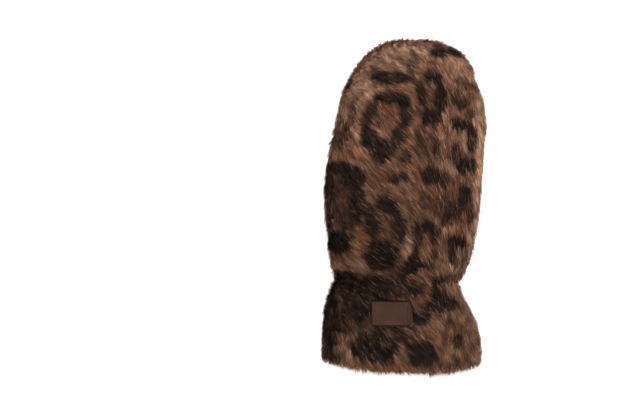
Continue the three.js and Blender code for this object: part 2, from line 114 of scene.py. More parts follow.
# Leather label. It shows a little beside its place in the solids.
LABEL_LENGTH = 34
LABEL_HEIGHT = 20.5
LABEL_THICKNESS = 2.2
LABEL_CORNER = 1.6
LABEL_X = -9.4
LABEL_FROM_WRIST = 29.2
LABEL_Y = WRIST_Y - LABEL_FROM_WRIST
LABEL_SEEN = (LABEL_X - 0.5, LABEL_Y + 1.2)
LABEL_RINGS = 44
LABEL_SIDES = 160
LABEL_RING_POWER = 1.6
LABEL_CORE = 0.1
LABEL_LEAST_CORNER = 0.05
LABEL_SUNK = 0.3
LABEL_EDGE = 0.7
LABEL_EDGE_DROP = 0.9
LABEL_FOLD = 3.4
CREASE_DEPTH = 0.7
CREASE_WIDTH = 0.4
FOLD_DROP = 0.9
LABEL_PUFF = 0.08

# Faces of the hides along their length and round them
HAND_STEPS = 90
HALF_STEPS = 73
ROUND_STEPS = 144
CUFF_STEPS = 50
THUMB_STEPS = 80


def table(names, *rows):
    """A table's columns by name, from its rows."""
    return dict(zip(names, np.array(rows, float).T))


# Sections from the wrist to the fingertips, from the wrist to the hem and along the thumb, as shares of
# the sizes above
HAND_ROWS = table(
    ("at", "shift", "open", "across", "deep"),
    (0, -0.036, 0, 0.97, 1),
    (0.035, -0.026, 0.26, 0.985, 1),
    (0.08, -0.018, 0.46, 1, 1),
    (0.2, -0.004, 0.79, 1, 1),
    (0.367, 0.002, 1, 1.005, 1),
    (0.567, 0.034, 1, 0.986, 1),
    (0.667, 0.058, 1, 0.963, 0.99),
    (0.767, 0.062, 1, 0.9, 0.96),
    (0.833, 0.065, 1, 0.815, 0.91),
    (0.9, 0.08, 1, 0.71, 0.82),
    (0.94, 0.082, 1, 0.605, 0.72),
    (0.967, 0.077, 1, 0.465, 0.58),
    (0.988, 0.067, 1, 0.28, 0.38),
    (1, 0.057, 1, 0, 0),
)
CUFF_ROWS = table(
    ("at", "shift", "open", "across", "deep"),
    (0, -0.036, 0, 0.94, 1),
    (0.06, -0.042, 0.12, 0.955, 1),
    (0.18, -0.045, 0.3, 0.98, 1),
    (0.36, -0.036, 0.56, 1, 1),
    (0.54, -0.02, 0.8, 1, 1),
    (0.75, -0.01, 1, 0.99, 1),
    (0.92, -0.008, 1, 1, 0.98),
    (1, -0.006, 1, 0.995, 0.93),
)
THUMB_ROWS = table(
    ("at", "across", "deep"),
    (0, 0, 0),
    (0.02, 0.36, 0.4),
    (0.06, 0.62, 0.68),
    (0.13, 0.84, 0.88),
    (0.24, 0.98, 1),
    (0.45, 1, 1),
    (0.66, 0.97, 1),
    (0.8, 0.88, 0.95),
    (0.9, 0.72, 0.82),
    (0.96, 0.5, 0.62),
    (0.99, 0.26, 0.36),
    (1, 0, 0),
)

# Lie of the pile on the back, in degrees from straight down towards +X, at shares of the length below
# the fingertips and at shares of the half width across
LIE_AT = [0.0, 0.25, 0.5, 0.64, 0.72, 0.8, 0.88, 1.0]
LIE_ACROSS = [-1.0, -0.5, 0.0, 0.35, 0.7, 1.0]
LIE_DEGREES = [
    [30, 32, 22, 8, 2, 0],
    [36, 40, 30, 8, 0, -2],
    [38, 42, 34, 10, -2, -4],
    [70, 64, 36, 16, -8, -14],
    [74, 56, 40, 30, -34, -30],
    [34, 40, 44, 30, -6, -14],
    [30, 34, 50, 30, -22, 28],
    [-20, 14, 36, 24, -16, 34],
]

# Print on the back: filled dark ellipses, or rings as thick as stated. A few strokes are painted shade
# rather than print: the shadow along the wrist crease and a broad darkening towards the cuff. Sizes are
# half widths and half heights in millimetres, turn is in degrees, and dark is the depth of colour, below 0
# where a stroke lightens what is under it. The spread meets the photograph's perspective.
PRINT_COLUMNS = ("x", "y", "wide", "high", "turn", "thick", "dark")
PRINT_SPREAD = 1.02
PRINT_MIDDLE = (-70, 6)
PRINT_STRENGTH = 1.08
PRINT_GAMMA = 0.85
BACK_PRINT_AND_SHADE = [
    (-9.5, 108.8, 18, 6.4, 0, 0, 0.86),
    (-22, 113.5, 5, 6, 10, 0, 0.6),
    (8, 116, 3.2, 10, 8, 0, 0.7),
    (11.5, 128, 3.2, 8, 8, 0, 0.62),
    (-18, 128, 2.4, 7, 24, 0, 0.35),
    (-2, 126, 2, 7, 16, 0, 0.3),
    (33, 132.5, 8, 5.4, 0, 0, 0.9),
    (46.5, 133, 7, 3.4, -28, 0, 0.85),
    (-46, 106, 3.8, 4.6, 0, 0, 0.55),
    (-42.5, 80, 4, 10, -8, 0, 0.55),
    (-47, 64, 4, 8, 0, 0, 0.42),
    (27, 110.5, 8.5, 5, 0, 0, 0.85),
    (33, 91, 5.2, 15.5, 0, 0, 0.9),
    (15.5, 96, 4.6, 12, 10, 0, 0.75),
    (22.5, 97, 10.5, 15, 0, 0, 0.42),
    (24.5, 75.5, 9.4, 7, 0, 0, 1),
    (54, 105.5, 7.8, 4.4, -8, 0, 0.62),
    (64, 101, 3, 6, 22, 0, 0.75),
    (46, 94, 3.4, 6, 0, 0, 0.5),
    (52, 87, 7.2, 6, -12, 0, 0.6),
    (61, 79, 4, 5, -30, 0, 0.5),
    (-10, 91, 14.5, 5.4, -4, 0, 0.9),
    (2.2, 79, 5.6, 13, 4, 0, 0.8),
    (-28, 76, 5.8, 14, -24, 0, 0.8),
    (-28.5, 57, 7.6, 8.4, 0, 0, 0.98),
    (-17, 46.5, 10.4, 9.6, -20, 0, 1),
    (-3, 61, 6, 12, -22, 0, 0.8),
    (-8, 72, 2, 6, 30, 0, 0.3),
    (-55, 54, 7, 3.6, -8, 0, 0.6),
    (-50, 32, 15, 5.6, -10, 0, 0.94),
    (-41.5, 24, 9.6, 9, 0, 0, 1),
    (-38.5, 4, 6.2, 14, -4, 0, 0.88),
    (-61.5, 17, 4.6, 18, 0, 0, 0.8),
    (-51, 12, 9, 14, 0, 0, 0.5),
    (-4.5, 24, 9.4, 4.8, 12, 0, 0.85),
    (2, 40.5, 6, 5, 20, 0, 0.7),
    (20, 50, 12, 12, 0, 0, 0.42),
    (13, 58, 3.6, 6, 20, 0, 0.5),
    (30, 50, 3, 8, 8, 0, 0.5),
    (25, 26, 9.2, 7.6, 0, 0, 1),
    (36.5, 21.5, 3.6, 7, 8, 0, 0.8),
    (50.5, 69.5, 9.4, 5.6, -15, 0, 1),
    (61, 57, 5, 12, 0, 0, 0.92),
    (46.5, 46, 4, 8, 0, 0, 0.7),
    (55.5, 35, 9.4, 6.6, 0, 0, 0.97),
    (54, 9, 6.2, 8.4, -12, 0, 0.95),
    (-14, 2, 9.5, 7.5, -28, 0, 0.9),
    (-26, -13, 5.8, 15, 6, 0, 0.86),
    (-3, -17, 5.8, 14, 10, 0, 0.88),
    (-14, -13, 8, 12, 0, 0, 0.45),
    (-17.5, -41, 14.2, 13.8, 0, 0, 1),
    (-54, -29.5, 10, 10, 0, 0, 0.98),
    (-40, -4, 4.6, 13, 0, 0, 0.75),
    (-45, -20, 5, 9, 0, 0, 0.6),
    (-32, -8, 6, 15, 0, 0, 0.35),
    (-53, -10, 10, 12, 0, 0, 0.6),
    (-62, -8, 3.6, 12, 0, 0, 0.65),
    (20, 4, 5.6, 8, 8, 0, 0.5),
    (32, -4, 4, 8, 0, 0, 0.4),
    (19, -18.5, 9.6, 6.4, 0, 0, 0.98),
    (28, -25.5, 4.6, 8.4, -8, 0, 0.82),
    (12, -32, 3.8, 9.4, 0, 0, 0.8),
    (9, -47.5, 6.4, 8, 0, 0, 1),
    (20, -51, 7, 4.8, 0, 0, 0.8),
    (4.5, -56, 9.5, 5.4, 0, 0, 0.7),
    (28, -42.5, 3, 6, 0, 0, 0.75),
    (44, -5, 7.8, 7.2, 0, 0, 0.65),
    (58.5, -6, 3.8, 13, 0, 0, 0.65),
    (47.5, -30, 8.4, 5.8, -8, 0, 0.95),
    (42, -39.5, 3.6, 5.6, 0, 0, 0.8),
    (44.5, -46.5, 4.2, 5.4, 0, 0, 0.7),
    (54, -43, 3.2, 8.5, -8, 0, 0.65),
    (37, -15, 4, 4, 0, 0, 0.5),
    # Painted shadow: the dark line along the wrist crease, where the hand's fur overhangs the cuff
    (-46, -58, 12, 2.8, -3, 0, 0.95),
    (-25, -63, 10, 4.4, 0, 0, 0.8),
    (-5, -64, 12, 5, 0, 0, 0.6),
    (32, -65.5, 5.4, 5, 0, 0, 0.9),
    (44, -60, 8, 3, 8, 0, 0.5),
    (-47, -84, 20, 25, 0, 0, 0.82),
    # Painted shade: a broad darkening over the whole cuff
    (0, -104, 84, 56, 0, 0, 0.27),
    (-62, -108, 7.6, 22, 0, 0, 0.95),
    (-24, -76, 14, 14, 0, 0, 0.7),
    (-9, -72, 20, 8, 0, 0, 0.66),
    (-53, -80, 2.6, 14, 6, 0, -0.3),
    (-43, -104, 4, 9, 0, 0, -0.25),
    (-43, -125, 4.6, 9, 0, 0, -0.4),
    (-23, -121.5, 20.5, 13, 0, 0, 1),
    (-23, -124, 18, 9.5, 0, 0, 1),
    (-24, -106, 16, 6, 0, 0, 0.5),
    (-1.5, -110, 5.6, 7.4, 28, 0, 0.8),
    (17, -95.5, 8.8, 6.4, 0, 0, 1),
    (33, -84.5, 15.5, 5.8, 6, 0, 0.96),
    (31, -77, 6.8, 7.4, 0, 0, 0.94),
    (13.5, -71, 6.4, 6.4, 0, 0, 0.75),
    (17, -126, 12.8, 11, 0, 0, 0.9),
    (8, -118, 5, 6, 0, 0, 0.6),
    (47.8, -115, 3.8, 6.4, -10, 0, 0.75),
    (40, -100, 3, 8, -12, 0, 0.4),
    (58, -104, 3, 8, 10, 0, 0.4),
    (36, -118, 3, 8, -12, 0, 0.4),
    (57, -123, 7, 6, 0, 0, 0.3),
    (46, -132, 4, 4, 0, 0, 0.5),
    (-62, -130, 8, 3, 0, 0, 0.8),
    # Painted shade: a broad darkening over the middle and lower hand, towards the cuff
    (0, -5, 84, 55, 0, 0, 0.13),
    (40, -2, 14, 12, 0, 0, 0.25),
    (12, -4, 10, 14, 0, 0, 0.25),
    (-12, 72, 7, 9, 0, 0, 0.25),
    (-16, 26, 18, 8, -20, 0, 0.15),
    (-34, -90, 10, 8, 0, 0, 0.4),
]

# Print on the palm, the thumb and the underside of the cuff, as seen through from above
UNDER_PRINT = [
    (27.6, 111, 15, 30, 0, 8, 0.75),
    (23.4, 76, 12, 7, 0, 0, 0.95),
    (-6.4, 107, 9, 18, 0, 6, 0.7),
    (-8.9, 138, 6, 4, 0, 0, 0.6),
    (58.2, 90, 4, 9, 0, 0, 0.65),
    (57.4, 64.6, 5, 7, 0, 0, 0.65),
    (25, 43, 10, 6, 0, 0, 0.85),
    (14.9, 23.8, 9, 6, 0, 0, 0.65),
    (58, 30.6, 5, 9, 0, 0, 0.65),
    (46.3, -6, 8.5, 20, 0, 0, 0.85),
    (6, -14, 8, 11, 0, 0, 0.75),
    (-30, 79, 10, 7, 0, 0, 0.85),
    (-13, 56, 7, 9, 0, 0, 0.75),
    (-40, 45, 7, 10, 0, 5, 0.6),
    (-36, 6.8, 13, 22, 0, 7, 0.8),
    (-36, -13, 12, 7, 0, 0, 0.9),
    (36, -74, 20, 6, 0, 0, 0.85),
    (10.6, -97, 14, 18, 0, 7, 0.8),
    (46, -122, 9, 8, 0, 0, 0.85),
    (-30, -106, 12, 14, 0, 6, 0.7),
    (-55.7, -86.7, 9, 20, 0, 0, 0.6),
    (-54, -36, 10, 9, 0, 0, 0.85),
    (-60, 30, 6, 16, 0, 0, 0.6),
]

# Tints of the ground colour: above 0 is a warm tan, below 0 a cool grey brown
SPOT_COLUMNS = ("x", "y", "wide", "high", "strength")
TINTS = [
    (-42, 110, 13, 24, 1.2),
    (0, 135, 44, 17, 1.2),
    (-50, 96, 6, 14, 0.5),
    (-9, 101.6, 16, 3.4, 0.75),
    (-28, 96, 8, 10, 0.55),
    (-42, 44, 10, 7, 0.55),
    (-38, 60, 6, 10, 0.5),
    (52, 120, 14, 10, 1),
    # Light tan down the right edge: partly paler fur at the side, partly painted rim light
    (67, 85, 6, 30, 1.1),
    (67, 20, 7, 60, 1.3),
    (58, -25, 6, 16, 0.5),
    (34, 62, 4, 12, 0.35),
    (42, 50, 4, 16, 0.4),
    (53.5, 50, 4.5, 7, 0.5),
    (23.5, -34, 5, 8, 0.6),
    (49.5, -50, 6, 9, 0.55),
    (38, -22, 7, 3, 0.6),
    (3, -33, 4.5, 8, 0.9),
    (-36, -32, 3.8, 14, 0.4),
    (-35, -50, 14, 6, 0.6),
    (-58, -48, 6, 5, 0.5),
    (33, -55, 12, 4, 0.6),
    (44, -71, 4, 6, 0.5),
    (56, -92, 6, 12, 0.7),
    (30, -104, 8, 12, 0.4),
    (38, -125, 8, 8, 0.35),
    (-44, -120, 5, 8, 0.1),
    (-47, -133, 9, 4.5, 0.3),
    (-5, -140, 42, 4, 0.1),
    (60, -118, 9, 16, 0.5),
    (40, -4, 26, 30, -0.2),
    (-52, 66, 6, 12, -0.35),
    (20, 55, 20, 18, -0.2),
    (-8, -68, 18, 9, -0.4),
]

# Places where the ground turns to an orange tan
ORANGES = [
    (-36, -32, 5, 15, 1),
    (-42, 45, 16, 6, 0.8),
    (-6, 101, 24, 4, 0.8),
    (-12, 70, 6, 10, 0.4),
    (-50, 6, 6, 12, 0.4),
    (-10, 30, 22, 8, 0.4),
    (16, 40, 20, 30, 0.25),
    (24, -34, 8, 9, 0.7),
    (40, -18, 10, 5, 0.5),
    (-14, -12, 8, 10, 0.5),
    (35, -108, 12, 20, 0.5),
    (62, -112, 8, 16, 0.4),
    (-34, -96, 8, 8, 0.5),
    (-15, -137, 40, 5, 0.9),
    (48, 118, 14, 12, 0.4),
]

# Smooth noises, each with its size in millimetres and its seed
NOISES = {
    "print_x_broad": (13, 11),
    "print_x_fine": (5, 12),
    "print_y_broad": (15, 13),
    "print_y_fine": (6, 14),
    "mottle": (9, 61),
    "tint_broad": (34, 21),
    "tint_fine": (11, 22),
    "lie_broad": (26, 31),
    "lie_fine": (10, 32),
    "under_lie": (26, 41),
    "leather": (16, 51),
}
WAVE_COUNT = 7
WAVE_SPEEDS = (0.7, 1.5)

# Soft and uneven edges of the print, in millimetres, and its mottling
STROKE_FADE = (-1.3, 1.9)
RING_FADE = 1.2
WARP_BROAD = 0.4
WARP_FINE = 0.6
MOTTLE_DEPTH = 0.4
MOTTLE_FADE = (0.1, 1.7)
TINT_BROAD = 0.2
TINT_FINE = 0.22

# Noise on the lie of the pile, in degrees
LIE_BROAD = 6
LIE_FINE = 4
UNDER_LIE = 12
LEAST_TIP_OVER = 0.2

# How roots are spread: candidates for each root, the step that measures the surface, and the quantile
# that caps the areas
CANDIDATES = 6
SURFACE_STEP = 0.004
AREA_CAP = 0.995

# Clumps: one jittered middle in each cell, and how strands follow their small and large clump
CELL_MIX = (73.17, 37.31, 113.77)
JITTER_SCALE = 4375.85
JITTER_TURNS = (1.3, 2.7, 3.9)
SMALL_CLUMP_SEED = 5
LARGE_CLUMP_SEED = 9
LARGE_CLUMP = 2.6
CLUMP_TURN = 16
SMALL_CLUMP_PULL = 0.45
LARGE_CLUMP_PULL = 0.1
BELLY_PULL = 0.5

# Strands: lengths and widths as shares of their style's, places in millimetres and angles in degrees
LENGTH_SPREAD = (0.72, 1.1)
CLUMP_SHORTEST = 0.86
CLUMP_LONGER = 0.28
SHORTEST = 2.0
LABEL_STAND = 35
LABEL_OVERLAP = 0.5
BELLY_SHARE = 0.42
BELLY_WIDTH = 0.85
WIDTH_SPREAD = (0.7, 1.25)
ROLL_SPREAD = 32
GUARD_BELOW = 0.1
GUARD_ABOVE = 0.86
RISES = {
    "belly": {"guard": 6, "loose": 6, "clump": 10, "spread": 6},
    "tip": {"guard": 2, "loose": 20, "clump": 12, "spread": 7},
}
STYLES = {
    "hand": {"length": 11.0, "width": 0.55, "clump": 1.8, "stray": 7, "belly": 34, "tip": 9},
    "cuff": {"length": 11.5, "width": 0.6, "clump": 2.4, "stray": 9, "belly": 36, "tip": 11},
    "under": {"length": 10.5, "width": 0.85, "clump": 3.2, "stray": 9, "belly": 32, "tip": 6},
}
STRAND_COUNTS = {
    "back_fur": 132000,
    "cuff_fur": 66000,
    "palm_fur": 40000,
    "cuff_under_fur": 24000,
    "thumb_fur": 22000,
}
QUICK_SHARE = 1.0

# Colour of a strand: where along it the print is read, and how it varies
SEEN_SHARE = 0.7
PRINT_STRAY = 1.2
CLUMP_SHIFT = 2.5
PALE_ABOVE = 0.97
PALE_MARK = 0.6
MARK_SPREAD = 0.07
TINT_SPREAD = 0.12
# Painted shade: how far the darkening at the roots is lifted where the hide turns sideways
EDGE_LIGHT = 1.3
# Lighter, warmer fur where the hide turns sideways: partly paler fur at the sides, partly painted rim light
EDGE_TINT_AND_RIM_LIGHT = 0.9

# A strand's two faces share five corners: root left and right, belly right and left, and tip
STRAND_CORNERS = 5
STRAND_LOOPS = [0, 1, 2, 3, 3, 2, 4]
FACE_STARTS = [0, 4]
FACE_SIZES = [4, 3]
CORNERS_ALONG = [0, 0, 0.45, 0.45, 1.0]
BAKE_CELL = [[0.2, 0.15], [0.8, 0.15], [0.8, 0.5], [0.2, 0.5], [0.2, 0.5], [0.8, 0.5], [0.5, 0.88]]

# Values that only keep a division or a merge sound
TINY = 1e-9
TINY_AREA = 1e-12
LEAST_LIE = 1e-6
LEAST_STEP = 1e-3
MERGE_DISTANCE = 1e-6
LEAST_EDGE = 1e-7


def rng_for(name):
    """A random source of its own for each piece, the same every run."""
    return np.random.default_rng(sum(ord(letter) * (i + 1) for i, letter in enumerate(name)))


def smoothstep(value, low, high):
    share = np.clip((value - low) / (high - low), 0, 1)
    return share * share * (3 - 2 * share)


def waves(points, noise):
    """Smooth noise between about -1 and 1 that varies over its size in millimetres."""
    size, seed = NOISES[noise]
    rng = np.random.default_rng(seed)
    directions = rng.normal(size=(WAVE_COUNT, points.shape[1]))
    directions /= np.linalg.norm(directions, axis=1, keepdims=True)
    directions *= rng.uniform(*WAVE_SPEEDS, (WAVE_COUNT, 1)) * 2 * math.pi / size
    phases = rng.uniform(0, 2 * math.pi, WAVE_COUNT)
    return np.sin(points @ directions.T + phases).sum(axis=1) / math.sqrt(WAVE_COUNT)


def dot(first, second):
    """Dot product of each row of two arrays."""
    return np.einsum("ij,ij->i", first, second)


# Surfaces in millimetres, at shares of a length, turns round it and depths below the outer face


def column(rows, name, at):
    """A table's column at shares of its length, on a smooth curve through its rows."""
    xs, ys = rows["at"], rows[name]
    slopes = np.gradient(ys, xs)
    at = np.clip(at, 0, 1)
    i = np.clip(np.searchsorted(xs, at) - 1, 0, len(xs) - 2)
    width = xs[i + 1] - xs[i]
    t = (at - xs[i]) / width
    start = (2 * t**3 - 3 * t**2 + 1) * ys[i] + (t**3 - 2 * t**2 + t) * width * slopes[i]
    return start + (3 * t**2 - 2 * t**3) * ys[i + 1] + (t**3 - t**2) * width * slopes[i + 1]


def shrunk(full, depth):
    """A half size less a depth, which never falls below nothing at a rounded end."""
    full = np.maximum(full, 0)
    return full * full / (full + depth + TINY)


def rounded(turn):
    """Place on a section of half width and half thickness 1 that is squarer than an ellipse."""
    c, s = np.cos(turn), np.sin(turn)
    return np.sign(c) * np.abs(c) ** SECTION_POWER, np.sign(s) * np.abs(s) ** SECTION_POWER


def gathers(from_wrist, turn):
    """Soft uneven folds that fade out from the wrist seam."""
    folds = sum(share * np.cos(count * turn + phase) for count, phase, share in GATHER_WAVES)
    return GATHER_HEIGHT * folds * (1 - smoothstep(from_wrist, 0, GATHER_REACH))


def lift_at(x, y):
    """How far the thumb below lifts the hand at each place."""
    right = THUMB_X + THUMB_WIDTH / 2
    across = 1 - smoothstep(x, right - LIFT_SIDE["inside"], right + LIFT_SIDE["beyond"])
    droop = 1 - DROOP * (1 - smoothstep(x, -HAND_WIDTH / 2, -HAND_WIDTH / 2 + DROOP_WIDTH))
    rising = smoothstep(y, THUMB_START_Y - LIFT_BASE["beyond"], THUMB_START_Y + LIFT_BASE["inside"])
    falling = 1 - smoothstep(y, THUMB_END_Y - LIFT_TIP["inside"], THUMB_END_Y + LIFT_TIP["beyond"])
    return THUMB_THICKNESS * across * droop * rising * falling


def hand_surface(at, turn, depth):
    opened = column(HAND_ROWS, "open", at)
    deep = column(HAND_ROWS, "deep", at)
    wide = (WRIST_WIDTH + (HAND_WIDTH - WRIST_WIDTH) * opened) * column(HAND_ROWS, "across", at) / 2
    thick = (WRIST_THICKNESS + (HAND_THICKNESS - WRIST_THICKNESS) * opened) * deep / 2
    fold = gathers(at * HAND_LENGTH, turn)
    across, up = rounded(turn)
    x = column(HAND_ROWS, "shift", at) * HAND_WIDTH + across * shrunk(wide + fold, depth)
    y = WRIST_Y + at * HAND_LENGTH + (TIP_PLUMP - END_DRAW * depth) * at**TIP_POWER
    low = np.maximum(HAND_THICKNESS * deep / 2, TIP_HEIGHT) - PRESS
    middle = WRIST_HEIGHT + (low - WRIST_HEIGHT) * opened + lift_at(x, y)
    return np.stack([x, y, middle + up * shrunk(thick + fold, depth)], axis=-1)


def cuff_surface(at, turn, depth):
    opened = column(CUFF_ROWS, "open", at)
    deep = column(CUFF_ROWS, "deep", at)
    wide = (WRIST_WIDTH + (CUFF_WIDTH - WRIST_WIDTH) * opened) * column(CUFF_ROWS, "across", at) / 2
    thick = (WRIST_THICKNESS + (CUFF_THICKNESS - WRIST_THICKNESS) * opened) * deep / 2
    fold = gathers(at * CUFF_LENGTH, turn)
    across, up = rounded(turn)
    x = column(CUFF_ROWS, "shift", at) * CUFF_WIDTH + across * shrunk(wide + fold, depth)
    reach = CUFF_LENGTH - HEM_BOW * (2 * (x - HEM_LOWEST_X) / CUFF_WIDTH) ** 2
    middle = WRIST_HEIGHT + (CUFF_THICKNESS * deep / 2 - PRESS - WRIST_HEIGHT) * opened
    return np.stack([x, WRIST_Y - at * reach, middle + up * shrunk(thick + fold, depth)], axis=-1)


def thumb_surface(at, turn, depth):
    deep = column(THUMB_ROWS, "deep", at)
    wide = THUMB_WIDTH * column(THUMB_ROWS, "across", at) / 2
    across, up = rounded(turn)
    x = THUMB_X + THUMB_LEAN * (at - 0.5) + across * shrunk(wide, depth)
    y = THUMB_START_Y + depth * END_DRAW + at * (THUMB_LENGTH - 2 * END_DRAW * depth)
    middle = np.maximum(THUMB_THICKNESS * deep / 2, THUMB_END_HEIGHT) - PRESS
    thick = shrunk(THUMB_THICKNESS * deep / 2, depth)
    return np.stack([x, y, middle + up * thick], axis=-1)


# Hide shells


def grid_faces(rows, columns, closed, start=0):
    """Quads of a grid of points, joined round its columns where it is closed."""
    i, j = np.meshgrid(np.arange(rows - 1), np.arange(columns if closed else columns - 1), indexing="ij")
    after = (j + 1) % columns
    corners = [i * columns + j, (i + 1) * columns + j, (i + 1) * columns + after, i * columns + after]
    return start + np.stack([c.ravel() for c in corners], axis=-1)


def mesh_object(name, points, faces, material):
    """An object from points in millimetres, with equal points merged and its faces turned out."""
    mesh = bpy.data.meshes.new(name)
    mesh.from_pydata((np.asarray(points) * MM).tolist(), [], [list(map(int, f)) for f in faces])
    work = bmesh.new()
    work.from_mesh(mesh)
    bmesh.ops.remove_doubles(work, verts=work.verts, dist=MERGE_DISTANCE)
    bmesh.ops.dissolve_degenerate(work, edges=work.edges, dist=LEAST_EDGE)
    bmesh.ops.recalc_face_normals(work, faces=work.faces)
    work.to_mesh(mesh)
    work.free()
    mesh.polygons.foreach_set("use_smooth", [True] * len(mesh.polygons))
    mesh.materials.append(material)
    piece = bpy.data.objects.new(name, mesh)
    bpy.context.collection.objects.link(piece)
    return piece


def shell(name, surface, shares, turns, closed, ends_open):
    """A hide of even depth: an outer and an inner face, joined at the rims."""
    at, turn = np.meshgrid(shares, turns, indexing="ij")
    outer = surface(at, turn, HIDE_DEPTH).reshape(-1, 3)
    inner = surface(at, turn, LINING_DEPTH).reshape(-1, 3)
    outer[:, 2] = np.maximum(outer[:, 2], FLOOR_CLEARANCE)
    rows, columns = at.shape
    behind = len(outer)
    faces = grid_faces(rows, columns, closed).tolist()
    faces += grid_faces(rows, columns, closed, behind)[:, ::-1].tolist()
    for row, is_open in zip((0, rows - 1), ends_open):
        if not is_open:
            continue
        for j in range(columns if closed else columns - 1):
            a = row * columns + j
            b = row * columns + (j + 1) % columns
            faces.append([a, b, b + behind, a + behind])
    if not closed:
        for edge in (0, columns - 1):
            for i in range(rows - 1):
                a = i * columns + edge
                b = (i + 1) * columns + edge
                faces.append([a, b, b + behind, a + behind])
    return mesh_object(name, np.vstack([outer, inner]), faces, HIDE)


def cut_hole(piece, low, high):
    """Cuts the thumb's elliptical opening through a hide."""
    bpy.ops.mesh.primitive_cylinder_add(vertices=HOLE_SIDES, radius=0.5, depth=1)
    cutter = bpy.context.object
    cutter.scale = (HOLE_WIDTH * MM, HOLE_LENGTH * MM, (high - low) * MM)
    cutter.location = (THUMB_X * MM, HOLE_Y * MM, (low + high) / 2 * MM)
    cut = piece.modifiers.new("thumb_hole", "BOOLEAN")
    cut.object = cutter
    cut.operation = "DIFFERENCE"
    cut.solver = "EXACT"
    bpy.context.view_layer.objects.active = piece
    bpy.ops.object.modifier_apply(modifier=cut.name)
    bpy.data.objects.remove(cutter, do_unlink=True)


# Print, painted shade and lie of the pile


def stroke_depth(x, y, row):
    """How dark one stroke of the print or of painted shade is at each place."""
    turn = math.radians(row["turn"])
    dx, dy = x - row["x"], y - row["y"]
    u = dx * math.cos(turn) + dy * math.sin(turn)
    v = -dx * math.sin(turn) + dy * math.cos(turn)
    r = np.hypot(u / row["wide"], v / row["high"])
    angle = np.arctan2(v / row["high"], u / row["wide"])
    local = np.hypot(row["wide"] * np.cos(angle), row["high"] * np.sin(angle))
    if row["thick"] == 0:
        return 1 - smoothstep((r - 1) * local, *STROKE_FADE)
    half = row["thick"] / 2
    return 1 - smoothstep(np.abs(r - 1) * local, half - RING_FADE, half + RING_FADE)


def print_and_shade_depth(x, y, strokes):
    """Darkness of the print and of the painted shade among its strokes, from 0 to 1, with uneven edges."""
    places = np.stack([x, y], axis=-1)
    x = PRINT_MIDDLE[0] + PRINT_SPREAD * (x - PRINT_MIDDLE[0])
    y = PRINT_MIDDLE[1] + PRINT_SPREAD * (y - PRINT_MIDDLE[1])
    x = x + WARP_BROAD * waves(places, "print_x_broad") + WARP_FINE * waves(places, "print_x_fine")
    y = y + WARP_BROAD * waves(places, "print_y_broad") + WARP_FINE * waves(places, "print_y_fine")
    clear = 1 - MOTTLE_DEPTH * smoothstep(waves(places, "mottle"), *MOTTLE_FADE)
    for values in strokes:
        row = dict(zip(PRINT_COLUMNS, values))
        depth = stroke_depth(x, y, row)
        if row["dark"] < 0:
            clear = clear + (1 - clear) * depth * -row["dark"]
        else:
            clear = clear * (1 - row["dark"] * depth)
    return np.clip(PRINT_STRENGTH * (1 - clear), 0, 1) ** PRINT_GAMMA


def soft_spots(x, y, spots):
    """Sum of round spots that fade out from their middles, in a table's last column."""
    total = np.zeros_like(x)
    for values in spots:
        row = dict(zip(SPOT_COLUMNS, values))
        reach = ((x - row["x"]) / row["wide"]) ** 2 + ((y - row["y"]) / row["high"]) ** 2
        total = total + row["strength"] * np.exp(-reach)
    return total


def tint_at(x, y):
    """Warmth of the ground colour, from -1 to 1."""
    places = np.stack([x, y], axis=-1)
    noise = TINT_BROAD * waves(places, "tint_broad") + TINT_FINE * waves(places, "tint_fine")
    return np.clip(noise + soft_spots(x, y, TINTS), -1, 1)


def lie_degrees(x, y):
    """Direction of the pile on the back, from the table with soft noise on it."""
    along = (WRIST_Y + HAND_LENGTH - y) / (HAND_LENGTH + CUFF_LENGTH)
    side = np.clip(2 * x / HAND_WIDTH, -1, 1)
    degrees = np.array(LIE_DEGREES, float)
    rows, columns = np.array(LIE_AT), np.array(LIE_ACROSS)
    i = np.clip(np.searchsorted(rows, along) - 1, 0, len(rows) - 2)
    j = np.clip(np.searchsorted(columns, side) - 1, 0, len(columns) - 2)
    s = np.clip((along - rows[i]) / (rows[i + 1] - rows[i]), 0, 1)
    t = np.clip((side - columns[j]) / (columns[j + 1] - columns[j]), 0, 1)
    upper = degrees[i, j] * (1 - t) + degrees[i, j + 1] * t
    lower = degrees[i + 1, j] * (1 - t) + degrees[i + 1, j + 1] * t
    places = np.stack([x, y], axis=-1)
    noise = LIE_BROAD * waves(places, "lie_broad") + LIE_FINE * waves(places, "lie_fine")
    return upper * (1 - s) + lower * s + noise


# Strands


def roots_on(surface, turn_span, count, rng, weight):
    """Evenly spread root places on a surface, with outward normals."""
    wanted = count * CANDIDATES
    at = rng.uniform(0, 1, wanted)
    turn = rng.uniform(*turn_span, wanted)
    point = surface(at, turn, HIDE_DEPTH)
    ahead = surface(np.minimum(at + SURFACE_STEP, 1), turn, HIDE_DEPTH)
    behind = surface(np.maximum(at - SURFACE_STEP, 0), turn, HIDE_DEPTH)
    around = surface(at, turn + SURFACE_STEP, HIDE_DEPTH) - surface(at, turn - SURFACE_STEP, HIDE_DEPTH)
    normal = np.cross(ahead - behind, around)
    area = np.linalg.norm(normal, axis=1)
    normal = normal / (area[:, None] + TINY_AREA)
    opposite = surface(at, turn + math.pi, HIDE_DEPTH)
    normal[dot(normal, point - opposite) < 0] *= -1
    chance = area * weight(point, normal)
    chance = np.minimum(chance, np.quantile(chance, AREA_CAP))
    kept = rng.choice(wanted, size=count, replace=False, p=chance / chance.sum())
    return point[kept], normal[kept]


